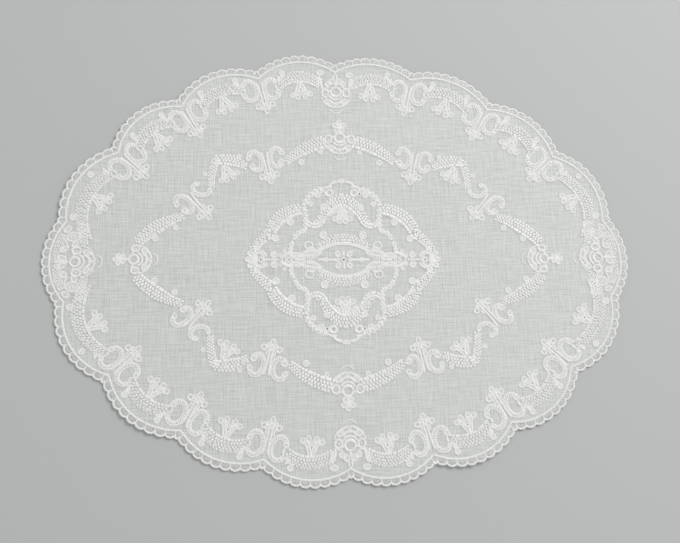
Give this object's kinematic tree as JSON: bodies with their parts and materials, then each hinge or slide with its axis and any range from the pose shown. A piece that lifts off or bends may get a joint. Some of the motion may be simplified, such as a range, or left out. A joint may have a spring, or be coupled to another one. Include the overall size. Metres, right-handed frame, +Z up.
{
  "type": "lace doily",
  "caption": "Flat oval doily of sheer cloth with white openwork embroidery and a scalloped edge of small picot loops, laid on a table or under a vase.",
  "frame": {"origin": "middle of the bounding box, on the flat underside", "axes": "+X along the long axis of the oval, +Y along its short axis, +Z up out of the embroidered face"},
  "size_m": [0.3992, 0.3008, 0.0017],
  "materials": {
    "lawn": "sheer plain-woven off-white cotton lawn with white embroidery"
  },
  "bodies": {
    "root": {"doily": "lawn"}
  },
  "joints": []
}
